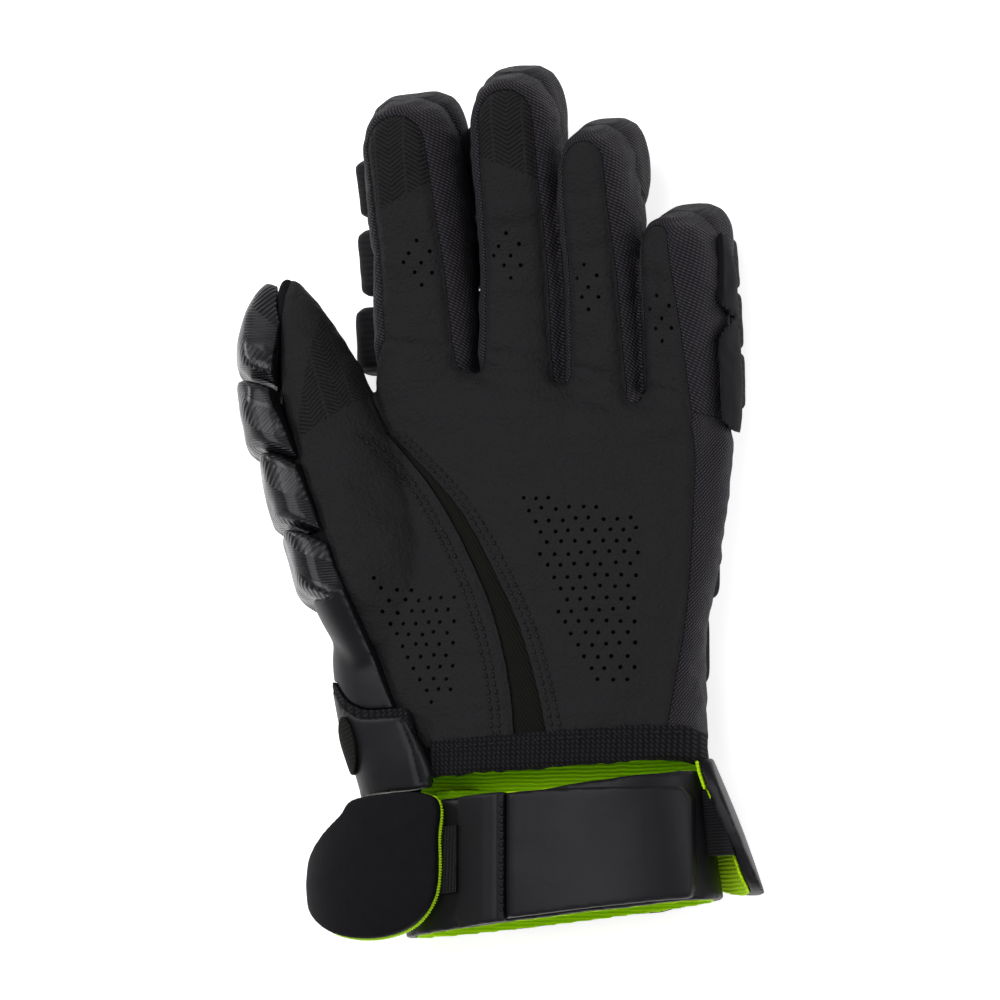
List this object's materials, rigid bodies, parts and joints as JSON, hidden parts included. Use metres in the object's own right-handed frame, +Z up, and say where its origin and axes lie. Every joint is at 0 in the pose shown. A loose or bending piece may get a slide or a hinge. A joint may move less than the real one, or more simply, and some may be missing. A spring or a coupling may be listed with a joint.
{
  "type": "lacrosse glove",
  "caption": "Padded left-hand lacrosse glove lying on its back with the palm up, with a leather palm, mesh fingers, foam rolls and a floating cuff with a strap round the wrist.",
  "frame": {"origin": "on the floor under the middle of the glove's bounding box", "axes": "+Y from the cuff to the finger tips, +X from the thumb to the little finger, +Z up out of the palm"},
  "size_m": [0.2112, 0.3314, 0.0688],
  "materials": {
    "palm_leather": "flat charcoal synthetic leather, perforated",
    "finger_mesh": "coarse black mesh",
    "stretch_mesh": "fine ribbed stretch mesh",
    "back_fabric": "matt black woven cover over foam",
    "embossed_leather": "glossy embossed cover over foam",
    "smooth_shell": "smooth satin synthetic leather over foam",
    "knit_binding": "knitted black binding",
    "green_lining": "lime ribbed knit lining",
    "elastic": "ribbed black elastic"
  },
  "bodies": {
    "root": {"closure_tab": "smooth_shell", "cuff_back": "embossed_leather", "hand_back": "back_fabric", "hand_lining": "green_lining", "hand_pad_1": "back_fabric", "hand_pad_2": "back_fabric", "hand_pad_3": "back_fabric", "heel_pad_1": "back_fabric", "heel_pad_2": "back_fabric", "heel_pad_3": "back_fabric", "index_roll_lower": "embossed_leather", "index_roll_middle": "embossed_leather", "index_roll_tip": "finger_mesh", "index_roll_upper": "embossed_leather", "index_stall": "finger_mesh", "knuckle_pad_1": "back_fabric", "knuckle_pad_2": "back_fabric", "knuckle_pad_3": "back_fabric", "knuckle_pad_4": "back_fabric", "little_ear_lining": "green_lining", "little_finger_guard": "smooth_shell", "little_roll_lower": "embossed_leather", "little_roll_middle": "embossed_leather", "little_roll_tip": "finger_mesh", "little_roll_upper": "embossed_leather", "little_side_ear": "smooth_shell", "little_side_elastic": "elastic", "little_stall": "finger_mesh", "middle_roll_lower": "embossed_leather", "middle_roll_middle": "embossed_leather", "middle_roll_tip": "finger_mesh", "middle_roll_upper": "embossed_leather", "middle_stall": "finger_mesh", "palm_hem": "knit_binding", "palm_panel": "palm_leather", "ring_roll_lower": "embossed_leather", "ring_roll_middle": "embossed_leather", "ring_roll_tip": "finger_mesh", "ring_roll_upper": "embossed_leather", "ring_stall": "finger_mesh", "side_mesh": "finger_mesh", "strap_badge": "embossed_leather", "thumb_back": "back_fabric", "thumb_base_panel": "smooth_shell", "thumb_ear_lining": "green_lining", "thumb_gusset": "stretch_mesh", "thumb_panel": "palm_leather", "thumb_roll_lower": "embossed_leather", "thumb_roll_middle": "embossed_leather", "thumb_roll_tip": "embossed_leather", "thumb_roll_upper": "embossed_leather", "thumb_side_ear": "smooth_shell", "thumb_side_elastic": "elastic", "thumb_strap": "smooth_shell", "wrap_lining": "green_lining", "wrap_pad": "smooth_shell", "wrist_pad_1": "back_fabric", "wrist_pad_2": "back_fabric", "wrist_wrap": "smooth_shell"}
  },
  "joints": []
}
